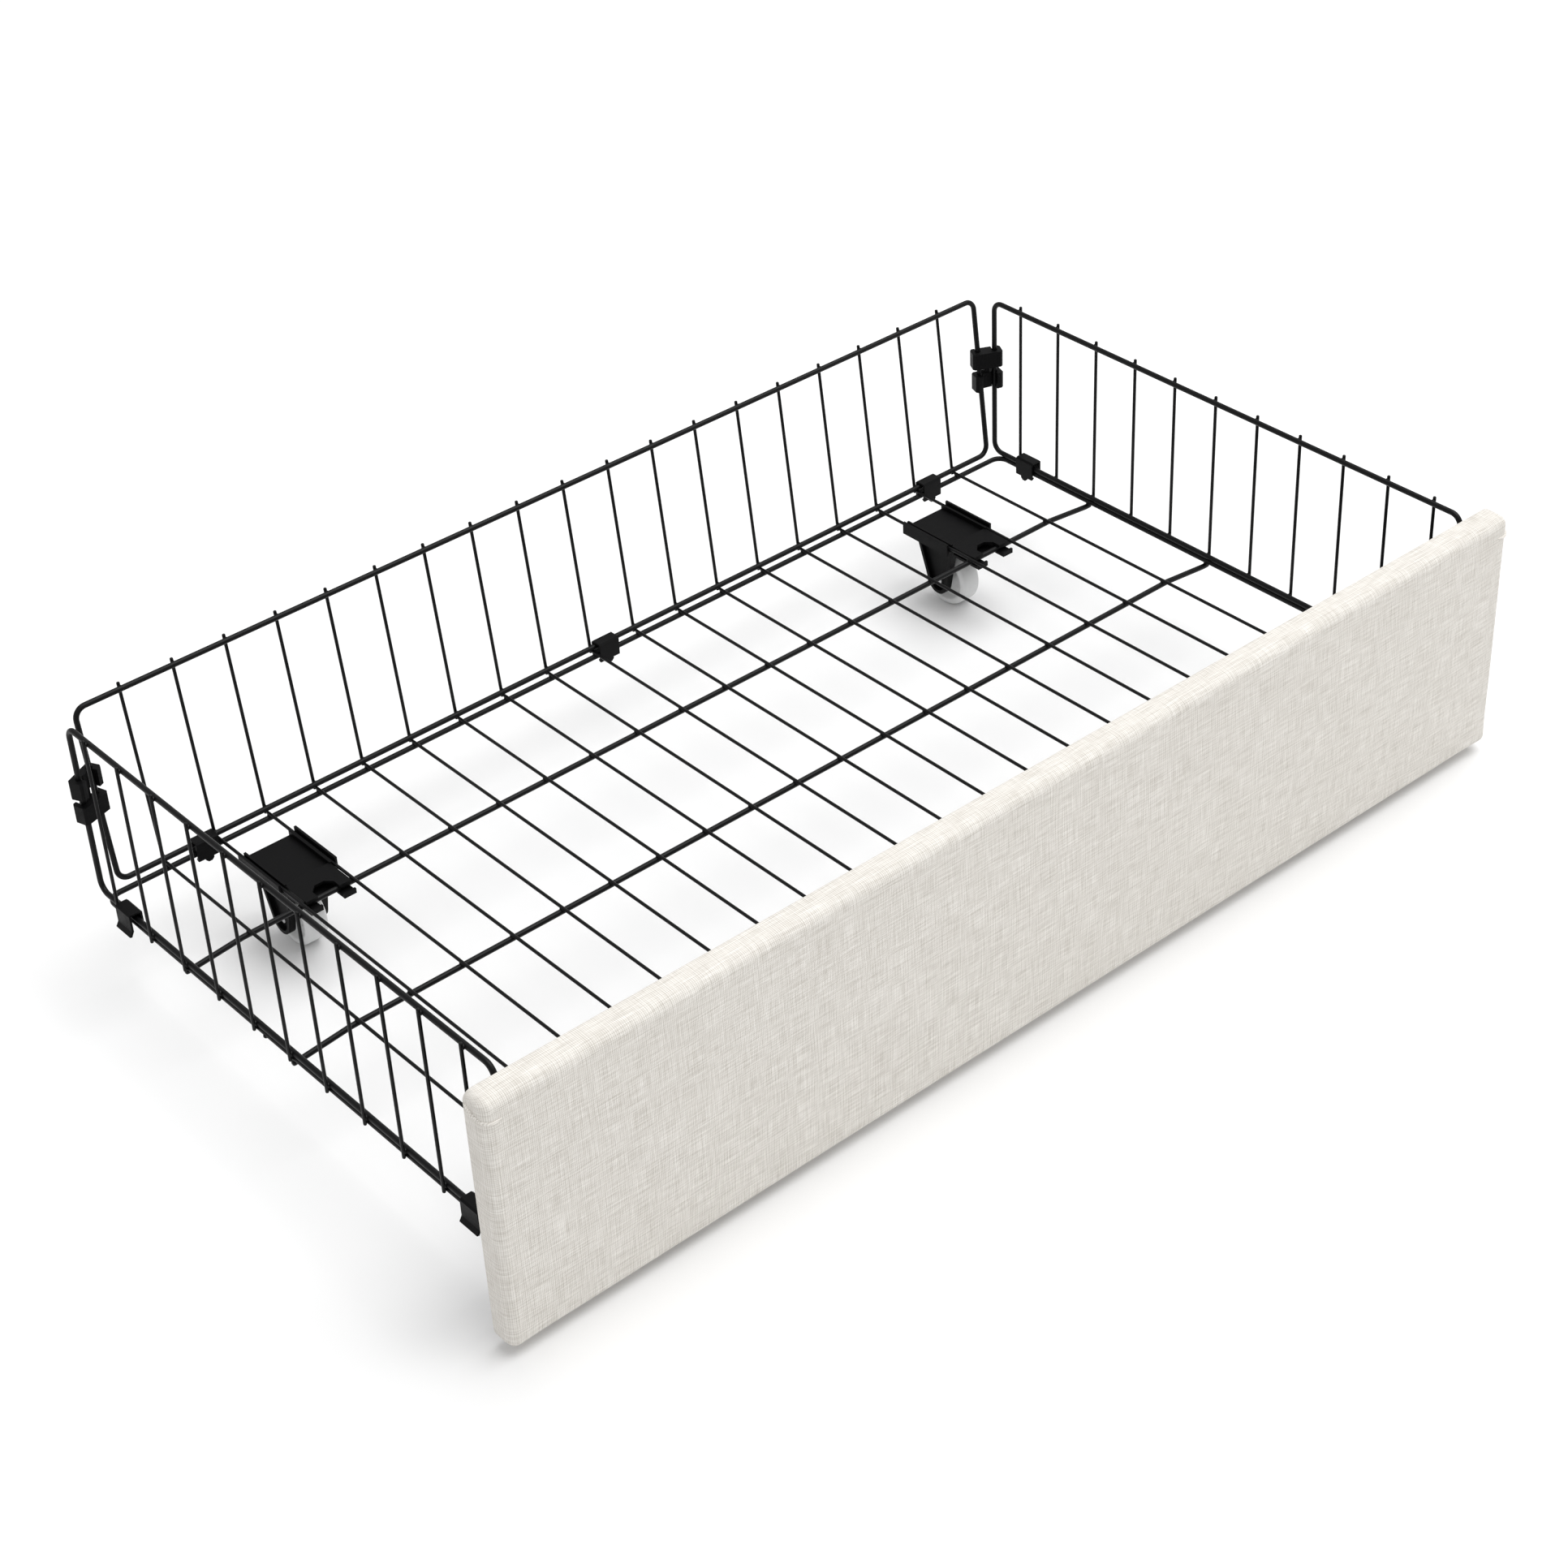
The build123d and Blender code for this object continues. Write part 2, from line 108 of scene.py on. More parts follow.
# Rounded end of a cut rod: how far in and how wide each ring is, as shares of its radius
END_DOME = ((0.0, 0.45), (0.12, 0.76), (0.35, 0.94), (0.7, 1.0))

# Cloth of the padded front while it swells
CLOTH_PRESSURE = 4.0
CLOTH_STIFFNESS = 25.0
CLOTH_BENDING = 1.0
CLOTH_FRAMES = 20

rod_r = (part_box("base_ring")[1].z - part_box("base_ring")[0].z) / 2
wire_r = (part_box("left_panel_wires")[1].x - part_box("left_panel_wires")[0].x) / 2


# Shader helpers


def new_material(name):
    material = bpy.data.materials.new(name)
    material.use_nodes = True
    return material, material.node_tree, material.node_tree.nodes["Principled BSDF"]


def set_input(tree, socket, value):
    """Links another node's output to a socket, or sets a plain value on it."""
    if isinstance(value, bpy.types.NodeSocket):
        tree.links.new(value, socket)
    else:
        socket.default_value = value


def add_node(tree, kind, inputs=None, **settings):
    """Adds a shader node, sets its properties, and sets or links each named input."""
    node = tree.nodes.new(kind)
    for key, value in settings.items():
        setattr(node, key, value)
    for key, value in (inputs or {}).items():
        set_input(tree, node.inputs[key], value)
    return node


def connect(tree, shader, **sockets):
    for name, value in sockets.items():
        set_input(tree, shader.inputs[name.replace("_", " ")], value)


def object_position(tree):
    return add_node(tree, "ShaderNodeTexCoord").outputs["Object"]


def noise_value(tree, position, scale, detail=3.0, roughness=0.55):
    inputs = {"Vector": position, "Scale": scale, "Detail": detail, "Roughness": roughness}
    return add_node(tree, "ShaderNodeTexNoise", inputs).outputs["Fac"]


def stretched_noise(tree, position, stretch, detail=2.0):
    """Noise with its own scale along each axis, for streaks."""
    mapped = add_node(tree, "ShaderNodeMapping", {"Vector": position, "Scale": stretch})
    return noise_value(tree, mapped.outputs["Vector"], 1.0, detail)


def cells(tree, position, scale):
    return add_node(tree, "ShaderNodeTexVoronoi", {"Vector": position, "Scale": scale}).outputs["Distance"]


def waves(tree, position, scale, direction):
    inputs = {"Vector": position, "Scale": scale, "Distortion": 0.7, "Detail": 1.0}
    return add_node(tree, "ShaderNodeTexWave", inputs, bands_direction=direction).outputs["Fac"]


def remap(tree, value, low, high):
    """Spreads the middle of a noise's range between two values."""
    inputs = {"Value": value, "From Min": 0.3, "From Max": 0.7, "To Min": low, "To Max": high}
    return add_node(tree, "ShaderNodeMapRange", inputs).outputs["Result"]


def weighted_sum(tree, start, *terms):
    """A plain value plus each (value, weight) pair."""
    total = start
    for value, weight in terms:
        node = add_node(tree, "ShaderNodeMath", {0: value, 1: weight, 2: total}, operation="MULTIPLY_ADD")
        total = node.outputs["Value"]
    return total


def blend_colours(tree, factor, first, second):
    ramp = add_node(tree, "ShaderNodeValToRGB", {"Fac": factor})
    ramp.color_ramp.elements[0].color = (*first, 1.0)
    ramp.color_ramp.elements[1].color = (*second, 1.0)
    return ramp.outputs["Color"]


def bump(tree, height, distance, strength=1.0):
    inputs = {"Height": height, "Distance": distance, "Strength": strength}
    return add_node(tree, "ShaderNodeBump", inputs).outputs["Normal"]


# Materials


def powder_coat():
    """Satin black powder coat: fine orange peel and slightly uneven gloss."""
    material, tree, shader = new_material("powder_coat")
    position = object_position(tree)
    cloud = noise_value(tree, position, 60.0)
    peel = noise_value(tree, position, 1400.0, detail=2.0)
    connect(
        tree,
        shader,
        Base_Color=blend_colours(tree, cloud, (0.0015, 0.0015, 0.0017), (0.004, 0.004, 0.0044)),
        Roughness=remap(tree, cloud, 0.34, 0.46),
        Specular_IOR_Level=0.18,
        Normal=bump(tree, peel, 0.00012),
    )
    return material


def moulded_plastic():
    """Black moulded plastic with a fine spark-eroded grain."""
    material, tree, shader = new_material("moulded_plastic")
    position = object_position(tree)
    cloud = noise_value(tree, position, 90.0)
    grain = noise_value(tree, position, 2600.0, detail=1.0)
    connect(
        tree,
        shader,
        Base_Color=blend_colours(tree, cloud, (0.002, 0.002, 0.0022), (0.005, 0.005, 0.0053)),
        Roughness=remap(tree, cloud, 0.4, 0.55),
        Specular_IOR_Level=0.08,
        Normal=bump(tree, grain, 0.00008),
    )
    return material


def nylon():
    """Natural nylon: cloudy white with fine wear."""
    material, tree, shader = new_material("nylon")
    position = object_position(tree)
    cloud = noise_value(tree, position, 70.0)
    wear = noise_value(tree, position, 900.0)
    connect(
        tree,
        shader,
        Base_Color=blend_colours(tree, cloud, (0.66, 0.665, 0.665), (0.80, 0.805, 0.80)),
        Roughness=remap(tree, wear, 0.32, 0.48),
        Normal=bump(tree, wear, 0.00006),
    )
    return material


def steel():
    """Bright steel with turning marks round the X axis."""
    material, tree, shader = new_material("steel")
    position = object_position(tree)
    marks = stretched_noise(tree, position, (3000.0, 150.0, 150.0))
    connect(
        tree,
        shader,
        Base_Color=blend_colours(tree, marks, (0.42, 0.42, 0.43), (0.6, 0.6, 0.6)),
        Metallic=1.0,
        Roughness=remap(tree, marks, 0.24, 0.4),
        Normal=bump(tree, marks, 0.00003),
    )
    return material


def linen():
    """Cream linen laid along the cloth's own surface: fine threads, with slubs that run across and up."""
    material, tree, shader = new_material("linen")
    cloth = add_node(tree, "ShaderNodeAttribute", attribute_name="weave").outputs["Vector"]
    ribs = waves(tree, cloth, 196.0, "X")
    picks = waves(tree, cloth, 262.0, "Y")
    across = stretched_noise(tree, cloth, (40.0, 760.0, 1.0), detail=3.0)
    upward = stretched_noise(tree, cloth, (800.0, 36.0, 1.0), detail=3.0)
    patches = noise_value(tree, cloth, 14.0)
    slubs = weighted_sum(tree, -0.87, (across, 1.1), (upward, 0.9), (patches, 0.16))
    tone = weighted_sum(tree, slubs, (ribs, 0.32), (picks, 0.26))
    height = weighted_sum(tree, slubs, (ribs, 0.5), (picks, 0.4))
    connect(
        tree,
        shader,
        Base_Color=blend_colours(tree, tone, (0.50, 0.467, 0.416), (0.93, 0.905, 0.862)),
        Roughness=remap(tree, across, 0.95, 0.84),
        Specular_IOR_Level=0.15,
        Sheen_Weight=0.08,
        Sheen_Roughness=0.5,
        Normal=bump(tree, height, 0.0003, 0.7),
    )
    return material


def lining_cloth():
    """Black non-woven lining with pressed dots."""
    material, tree, shader = new_material("lining_cloth")
    position = object_position(tree)
    fibres = noise_value(tree, position, 420.0, detail=6.0, roughness=0.7)
    dots = cells(tree, position, 420.0)
    connect(
        tree,
        shader,
        Base_Color=blend_colours(tree, fibres, (0.014, 0.014, 0.015), (0.045, 0.045, 0.047)),
        Roughness=remap(tree, fibres, 0.85, 0.97),
        Specular_IOR_Level=0.2,
        Normal=bump(tree, weighted_sum(tree, 0.0, (dots, 1.0), (fibres, 1.0)), 0.0003),
    )
    return material


def particle_board():
    """Bare edges and faces of pressed wood chips."""
    material, tree, shader = new_material("particle_board")
    position = object_position(tree)
    chips = cells(tree, position, 300.0)
    fine = noise_value(tree, position, 500.0)
    tone = weighted_sum(tree, 0.0, (chips, 1.0), (fine, 1.0))
    connect(
        tree,
        shader,
        Base_Color=blend_colours(tree, tone, (0.42, 0.29, 0.17), (0.62, 0.47, 0.3)),
        Roughness=remap(tree, fine, 0.8, 0.95),
        Normal=bump(tree, chips, 0.0003),
    )
    return material


def pale_floor():
    material, tree, shader = new_material("pale_floor")
    cloud = noise_value(tree, object_position(tree), 3.0)
    connect(
        tree,
        shader,
        Base_Color=blend_colours(tree, cloud, (0.865, 0.865, 0.865), (0.885, 0.885, 0.885)),
        Roughness=0.9,
        Specular_IOR_Level=0.1,
    )
    return material


COAT = powder_coat()
PLASTIC = moulded_plastic()
NYLON = nylon()
STEEL = steel()
LINEN = linen()
LINING = lining_cloth()
BOARD = particle_board()


# Mesh helpers


def new_object(name, vertices, faces):
    mesh = bpy.data.meshes.new(name)
    mesh.from_pydata([tuple(v) for v in vertices], [], faces)
    mesh.polygons.foreach_set("use_smooth", [True] * len(faces))
    obj = bpy.data.objects.new(name, mesh)
    bpy.context.scene.collection.objects.link(obj)
    return obj


def place(obj, material, body=BODY, replaced=()):
    """Gives a piece its material, hides the CAD nodes it stands for, and lets it move with a body."""
    obj.data.materials.clear()
    obj.data.materials.append(material)
    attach(obj, body)
    if replaced:
        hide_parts(*replaced)
    return obj


def islands(node):
    """Corners of each separate solid of a CAD node, as lists of points."""
    work = bmesh.new()
    work.from_mesh(nodes[node].data)
    bmesh.ops.remove_doubles(work, verts=work.verts, dist=SAME_POINT)
    seen = set()
    found = []
    for first in work.verts:
        if first in seen:
            continue
        seen.add(first)
        stack = [first]
        solid = []
        while stack:
            vertex = stack.pop()
            solid.append(vertex.co.copy())
            for edge in vertex.link_edges:
                other = edge.other_vert(vertex)
                if other not in seen:
                    seen.add(other)
                    stack.append(other)
        found.append(solid)
    work.free()
    return found


def middle(points):
    """Middle of the box round some points."""
    low = Vector([min(p[i] for p in points) for i in range(3)])
    high = Vector([max(p[i] for p in points) for i in range(3)])
    return (low + high) / 2


def stations(points, axis, gap=0.002):
    """Middle of each ring of corners met along an axis: the centre line of a bar."""
    groups = []
    for point in sorted(points, key=lambda p: p[axis]):
        if groups and point[axis] - groups[-1][-1][axis] < gap:
            groups[-1].append(point)
        else:
            groups.append([point])
    return [sum(group, Vector()) / len(group) for group in groups]


def rounded(points, radius, steps=4):
    """A path with its inner corners turned into arcs."""
    path = [points[0]]
    for before, corner, after in zip(points, points[1:], points[2:]):
        into = (before - corner).normalized()
        out = (after - corner).normalized()
        half_angle = into.angle(out) / 2
        reach = radius / math.tan(half_angle)
        centre = corner + (into + out).normalized() * radius / math.sin(half_angle)
        start = corner + into * reach - centre
        end = corner + out * reach - centre
        for step in range(steps + 1):
            path.append(centre + start.slerp(end, step / steps).normalized() * radius)
    return path + [points[-1]]


def bent_loop(centre, along, up, length, height, corner_r, steps=8):
    """Closed rectangle with round corners in the plane of two directions."""
    path = []
    for quarter, (x_way, y_way) in enumerate(((1, 1), (-1, 1), (-1, -1), (1, -1))):
        for step in range(steps + 1):
            turn = math.radians(90 * (quarter + step / steps))
            x = x_way * (length / 2 - corner_r) + corner_r * math.cos(turn)
            y = y_way * (height / 2 - corner_r) + corner_r * math.sin(turn)
            path.append(centre + along * x + up * y)
    return path


def oval(point, first, second, sides):
    """Corners of an oval between two half-axes."""
    turns = [2 * math.pi * k / sides for k in range(sides)]
    return [point + first * math.cos(turn) + second * math.sin(turn) for turn in turns]


def skin(rings, closed):
    """Corners and faces over rings that follow each other. Open ends get flat caps."""
    sides = len(rings[0])
    total = len(rings)
    faces = []
    for ring in range(total if closed else total - 1):
        a = ring * sides
        b = (ring + 1) % total * sides
        for k in range(sides):
            n = (k + 1) % sides
            faces.append((a + k, b + k, b + n, a + n))
    if not closed:
        faces.append(tuple(range(sides)))
        faces.append(tuple(reversed(range((total - 1) * sides, total * sides))))
    return [corner for ring in rings for corner in ring], faces


def tube(path, normal, radius, closed=False, sides=14):
    """Round tube whose path lies in the plane across the normal. Open ends are domed."""
    count = len(path)
    marks = []
    for index, point in enumerate(path):
        before = path[index - 1] if closed or index else point
        after = path[(index + 1) % count] if closed or index + 1 < count else point
        marks.append((point, (after - before).normalized(), radius))
    if not closed:
        first, ahead, _ = marks[0]
        last, behind, _ = marks[-1]
        start = [(first + ahead * radius * shift, ahead, radius * wide) for shift, wide in END_DOME]
        end = [(last - behind * radius * shift, behind, radius * wide) for shift, wide in reversed(END_DOME)]
        marks = start + marks[1:-1] + end
    rings = []
    for point, tangent, size in marks:
        side = tangent.cross(normal).normalized()
        rings.append(oval(point, normal * size, side * size, sides))
    return skin(rings, closed)


def joined(meshes):
    """Several lists of corners and faces as one."""
    vertices, faces = [], []
    for more_vertices, more_faces in meshes:
        start = len(vertices)
        vertices += more_vertices
        faces += [tuple(start + i for i in face) for face in more_faces]
    return vertices, faces


def turned_ring(profile, centre, axis, sides):
    """Turns a closed profile of (along, out) points about an axis through a point."""
    across = axis.orthogonal().normalized()
    other = axis.cross(across)
    rings = []
    for k in range(sides):
        turn = 2 * math.pi * k / sides
        out_way = across * math.cos(turn) + other * math.sin(turn)
        rings.append([centre + axis * along + out_way * out for along, out in profile])
    return skin(rings, closed=True)


def turned_bar(profile, start, axis, sides):
    """Solid bar of round sections, each (along, out) from its start."""
    across = axis.orthogonal().normalized()
    other = axis.cross(across)
    rings = [oval(start + axis * along, across * out, other * out, sides) for along, out in profile]
    return skin(rings, closed=False)


def arc_points(centre, radius, start_deg, end_deg, steps=5):
    angles = [math.radians(start_deg + (end_deg - start_deg) * k / steps) for k in range(steps + 1)]
    return [(centre[0] + radius * math.cos(a), centre[1] + radius * math.sin(a)) for a in angles]


def face_outward(obj):
    work = bmesh.new()
    work.from_mesh(obj.data)
    bmesh.ops.recalc_face_normals(work, faces=work.faces)
    work.to_mesh(obj.data)
    work.free()


def apply_modifiers(obj):
    graph = bpy.context.evaluated_depsgraph_get()
    shaped = obj.evaluated_get(graph)
    mesh = bpy.data.meshes.new_from_object(shaped, preserve_all_data_layers=True, depsgraph=graph)
    obj.modifiers.clear()
    obj.data = mesh
    bpy.context.view_layer.update()


def subdivide(obj, levels):
    smooth = obj.modifiers.new("smooth", "SUBSURF")
    smooth.levels = levels
    smooth.render_levels = levels
    apply_modifiers(obj)


# Wire basket: round tubes on the CAD bars' centre lines


def tubes(name, meshes, replaced):
    vertices, faces = joined(meshes)
    return place(new_object(name, vertices, faces), COAT, replaced=[replaced])


def level_ring():
    low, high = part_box("base_ring")
    length = high.x - low.x - 2 * rod_r
    depth = high.y - low.y - 2 * rod_r
    path = bent_loop((low + high) / 2, ALONG_X, ALONG_Y, length, depth, RING_CORNER_R)
    return tubes("base_ring_rod", [tube(path, UP, rod_r, closed=True)], "base_ring")


def side_loop(node):
    low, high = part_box(node)
    length = high.y - low.y - 2 * rod_r
    height = high.z - low.z - 2 * rod_r
    path = bent_loop((low + high) / 2, ALONG_Y, UP, length, height, PANEL_CORNER_R)
    return tubes(node + "_rod", [tube(path, ALONG_X, rod_r, closed=True)], node)


def back_rods():
    """Centre lines of the leaning panel's lower and upper rods, as their left and right ends.
    The CAD rods' flat sides reach a little past the rod's radius when tilted."""
    low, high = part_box("back_panel_frame")
    reach = Vector((rod_r, rod_r * TILTED_REACH, rod_r * TILTED_REACH))
    return low + reach, high - reach


def back_loop():
    foot, head = back_rods()
    rise = Vector((0, head.y - foot.y, head.z - foot.z))
    up = rise.normalized()
    path = bent_loop((foot + head) / 2, ALONG_X, up, head.x - foot.x, rise.length, PANEL_CORNER_R)
    mesh = tube(path, up.cross(ALONG_X), rod_r, closed=True)
    return tubes("back_panel_frame_rod", [mesh], "back_panel_frame")


def bars(node, axis, normal, radius):
    """Round bars in place of every solid of a node."""
    paths = [rounded(stations(solid, axis), ROD_BEND_R) for solid in islands(node)]
    return tubes(node + "_round", [tube(path, normal, radius) for path in paths], node)


def base_welds():
    """Where cross wires lie on the ring and the long rods, where rod ends meet the ring, and its seam."""
    low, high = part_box("base_ring")
    rod_ys = [middle(solid).y for solid in islands("base_long_rods")]
    wire_xs = [middle(solid).x for solid in islands("base_cross_wires")]
    spots = [(x, y, high.z) for x in wire_xs for y in rod_ys + [low.y + rod_r, high.y - rod_r]]
    spots += [(x, y, low.z) for x in (low.x + rod_r, high.x - rod_r) for y in rod_ys]
    return spots + [(low.x + rod_r / 2, RING_SEAM_Y, low.z + rod_r / 2)]


def side_welds(side):
    low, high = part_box(side + "_panel_frame")
    outer = low.x if side == "left" else high.x
    wire_ys = [middle(solid).y for solid in islands(side + "_panel_wires")]
    return [(outer, y, z) for y in wire_ys for z in (low.z + rod_r, high.z - rod_r)]


def back_welds():
    foot, head = back_rods()
    rise = Vector((0, head.y - foot.y, head.z - foot.z)).normalized()
    outward = Vector((0, rise.z, -rise.y)) * rod_r
    wire_xs = [middle(solid).x for solid in islands("back_panel_wires")]
    return [(x, rod.y + outward.y, rod.z + outward.z) for x in wire_xs for rod in (foot, head)]


def weld_beads():
    work = bmesh.new()
    for spot in base_welds() + side_welds("left") + side_welds("right") + back_welds():
        bmesh.ops.create_icosphere(work, subdivisions=2, radius=WELD_R, matrix=Matrix.Translation(spot))
    beads = new_object("weld_beads", [], [])
    work.to_mesh(beads.data)
    work.free()
    beads.data.polygons.foreach_set("use_smooth", [True] * len(beads.data.polygons))
    return place(beads, COAT)


level_ring()
side_loop("left_panel_frame")
side_loop("right_panel_frame")
back_loop()
bars("base_long_rods", 0, ALONG_Y, rod_r)
bars("base_cross_wires", 1, ALONG_X, wire_r)
bars("back_panel_wires", 2, ALONG_X, wire_r)
bars("left_panel_wires", 2, ALONG_X, wire_r)
bars("right_panel_wires", 2, ALONG_X, wire_r)
weld_beads()


# Wheels with round treads, and screws with domed heads


def wheel(place_name):
    node = "caster_wheel_" + place_name
    low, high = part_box(node)
    radius = (high.z - low.z) / 2
    hub = (high.x - low.x) / 2
    half = WHEEL_WIDTH / 2
    web = WHEEL_WEB / 2
    rim_r = radius - WHEEL_RIM
    soft = WHEEL_SOFT_R
    tread = arc_points((half - WHEEL_EDGE_R, radius - WHEEL_EDGE_R), WHEEL_EDGE_R, 0, 90)
    one_side = [
        (hub, BORE_R),
        (hub, HUB_R - soft),
        (hub - soft, HUB_R),
        (web + soft, HUB_R + soft),
        (web, HUB_R + 2 * soft),
        (web, rim_r - 2 * soft),
        (web + soft, rim_r - soft),
        (half - soft, rim_r),
        (half, rim_r + soft),
    ] + tread
    other_side = [(-along, out) for along, out in reversed(one_side)]
    vertices, faces = turned_ring(one_side + other_side, (low + high) / 2, ALONG_X, sides=72)
    obj = new_object("wheel_" + place_name, vertices, faces)
    face_outward(obj)
    return place(obj, NYLON, body="wheel_" + place_name, replaced=[node])


def screw(solid):
    """Pan-head screw driven forward into the board, with a tapered recess in its head."""
    centre = middle(solid)
    tip = min(p.y for p in solid)
    length = max(p.y for p in solid) - tip
    head_r = max(p.x for p in solid) - centre.x
    seat = length - SCREW_HEAD_T
    edge = SCREW_HEAD_EDGE_R
    profile = [
        (0.0, SCREW_TIP_R),
        (2 * SCREW_SHANK_R, SCREW_SHANK_R),
        (seat, SCREW_SHANK_R),
        (seat, head_r),
    ]
    profile += arc_points((length - edge, head_r - edge), edge, 90, 0)
    profile += [(length, SCREW_RECESS_R), (seat, SCREW_TIP_R)]
    return turned_bar(profile, Vector((centre.x, tip, centre.z)), ALONG_Y, sides=24)


def screws():
    vertices, faces = joined([screw(solid) for solid in islands("front_screws")])
    obj = new_object("screws", vertices, faces)
    face_outward(obj)
    return place(obj, STEEL, replaced=["front_screws"])


for place_name in CASTERS:
    wheel(place_name)
screws()


# Rigid CAD pieces keep their own meshes, with softened edges


def soften(obj, width, material):
    weld = obj.modifiers.new("weld", "WELD")
    weld.merge_threshold = SAME_POINT
    bevel = obj.modifiers.new("soft_edges", "BEVEL")
    bevel.width = width
    bevel.segments = 2
    bevel.limit_method = "ANGLE"
    bevel.angle_limit = math.radians(SOFT_ABOVE_DEG)
    obj.data.materials.clear()
    obj.data.materials.append(material)


for name, obj in nodes.items():
    if "_clip" in name or "saddle" in name or "bracket" in name:
        soften(obj, PLASTIC_EDGE, PLASTIC)
    elif "axle" in name:
        soften(obj, PIN_EDGE, STEEL)
    elif name == "front_board":
        soften(obj, BOARD_EDGE, BOARD)


# Upholstered front


def pad_edge(columns, rows, corner_steps=6):
    """Once round the front grid: a grid point and the way out from it at each step, fanned at corners."""
    sides = (
        [(i, 0) for i in range(columns + 1)],
        [(columns, j) for j in range(rows + 1)],
        [(i, rows) for i in reversed(range(columns + 1))],
        [(0, j) for j in reversed(range(rows + 1))],
    )
    steps = []
    for quarter, side in enumerate(sides):
        turns = [0.0] * len(side) + [k / corner_steps for k in range(1, corner_steps)]
        places = side + [side[-1]] * (corner_steps - 1)
        for (i, j), turn in zip(places, turns):
            angle = math.radians(90 * (quarter - 1 + turn))
            steps.append((i * (rows + 1) + j, math.cos(angle), math.sin(angle)))
    return steps


def pad_profile(depth, steps=6):
    """From the front over the round edge to the back: how far out, how far back, how far along the cloth."""
    radius = FRONT_EDGE_R
    marks = []
    for step in range(1, steps + 1):
        turn = math.radians(90 * step / steps)
        marks.append((radius * math.sin(turn), radius * (1 - math.cos(turn)), radius * turn))
    flat = depth - radius - FRONT_BACK_EDGE
    count = round(flat / FRONT_CELL)
    round_end = marks[-1][2]
    for step in range(1, count + 1):
        run = flat * step / count
        marks.append((radius, radius + run, round_end + run))
    side_end = round_end + flat
    marks.append((radius - FRONT_BACK_EDGE, depth, side_end + 2 * FRONT_BACK_EDGE))
    marks.append((FRONT_BACK_EDGE, depth, side_end + radius))
    return marks


def band(inner, outer):
    """Faces between two rounds of corners. Where the inner round stands still, a face has three sides."""
    faces = []
    for n in range(len(inner)):
        m = (n + 1) % len(inner)
        corners = (inner[n], inner[m], outer[m], outer[n])
        faces.append(tuple(dict.fromkeys(corners)))
    return faces


def grid(low_x, low_z, span_x, span_z):
    """Even grid of about one cloth cell: its columns and rows, and the (x, z) of every point."""
    columns = round(span_x / FRONT_CELL)
    rows = round(span_z / FRONT_CELL)
    points = []
    for i in range(columns + 1):
        points += [(low_x + span_x * i / columns, low_z + span_z * j / rows) for j in range(rows + 1)]
    return columns, rows, points


def grid_faces(columns, rows, start):
    faces = []
    for i in range(columns):
        for j in range(rows):
            a = start + i * (rows + 1) + j
            b = a + rows + 1
            faces.append((a, b, b + 1, a + 1))
    return faces


def pad_mesh(low, high):
    """Closed pad with round front edges and flat faces, and each corner's place on the flat cloth."""
    edge_r = FRONT_EDGE_R
    span_x = high.x - low.x - 2 * edge_r
    span_z = high.z - low.z - 2 * edge_r
    columns, rows, flat = grid(low.x + edge_r, low.z + edge_r, span_x, span_z)
    cloth = list(flat)
    vertices = [Vector((x, low.y, z)) for x, z in flat]
    faces = grid_faces(columns, rows, 0)
    edge = pad_edge(columns, rows)
    inner = [index for index, _, _ in edge]
    for out, back, run in pad_profile(high.y - low.y):
        outer = list(range(len(vertices), len(vertices) + len(edge)))
        for index, way_x, way_z in edge:
            x, z = cloth[index]
            vertices.append(Vector((x + way_x * out, low.y + back, z + way_z * out)))
            cloth.append((x + way_x * run, z + way_z * run))
        faces += band(inner, outer)
        inner = outer
    back = len(vertices)
    faces += band(inner, [back + index for index, _, _ in edge])
    faces += grid_faces(columns, rows, back)
    vertices += [Vector((x, high.y, z)) for x, z in flat]
    return vertices, faces, cloth + flat


def lay_weave(obj, cloth):
    """Keeps each corner's place on the flat cloth, for the linen's threads."""
    weave = obj.data.attributes.new("weave", "FLOAT_VECTOR", "POINT")
    for mark, (along, up) in zip(weave.data, cloth):
        mark.vector = (along, up, 0.0)


def inflate(obj, back_y):
    """Swells the pad as tight cloth with its back held, then scales the swelling to the front's crown."""
    rest = [v.co.copy() for v in obj.data.vertices]
    held = obj.vertex_groups.new(name="held")
    held.add([i for i, point in enumerate(rest) if point.y > back_y - FRONT_CELL], 1.0, "REPLACE")
    cloth = obj.modifiers.new("cloth", "CLOTH")
    cloth.settings.vertex_group_mass = "held"
    cloth.settings.use_pressure = True
    cloth.settings.uniform_pressure_force = CLOTH_PRESSURE
    cloth.settings.tension_stiffness = CLOTH_STIFFNESS
    cloth.settings.compression_stiffness = CLOTH_STIFFNESS
    cloth.settings.bending_stiffness = CLOTH_BENDING
    cloth.settings.effector_weights.gravity = 0.0
    cloth.collision_settings.use_collision = False
    scene = bpy.context.scene
    for step in range(1, CLOTH_FRAMES + 1):
        scene.frame_set(step)
    apply_modifiers(obj)
    scene.frame_set(1)
    moves = [vertex.co - point for vertex, point in zip(obj.data.vertices, rest)]
    scale = min(1.0, FRONT_CROWN / max(move.length for move in moves))
    for vertex, point, move in zip(obj.data.vertices, rest, moves):
        vertex.co = point + move * scale


def padded_front():
    low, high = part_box("front_cover")
    vertices, faces, cloth = pad_mesh(low + ALONG_Y * FRONT_CROWN, high)
    cover = new_object("linen_front", vertices, faces)
    lay_weave(cover, cloth)
    face_outward(cover)
    inflate(cover, high.y)
    subdivide(cover, 1)
    place(cover, LINEN, replaced=["front_cover", "front_foam"])
    return cover


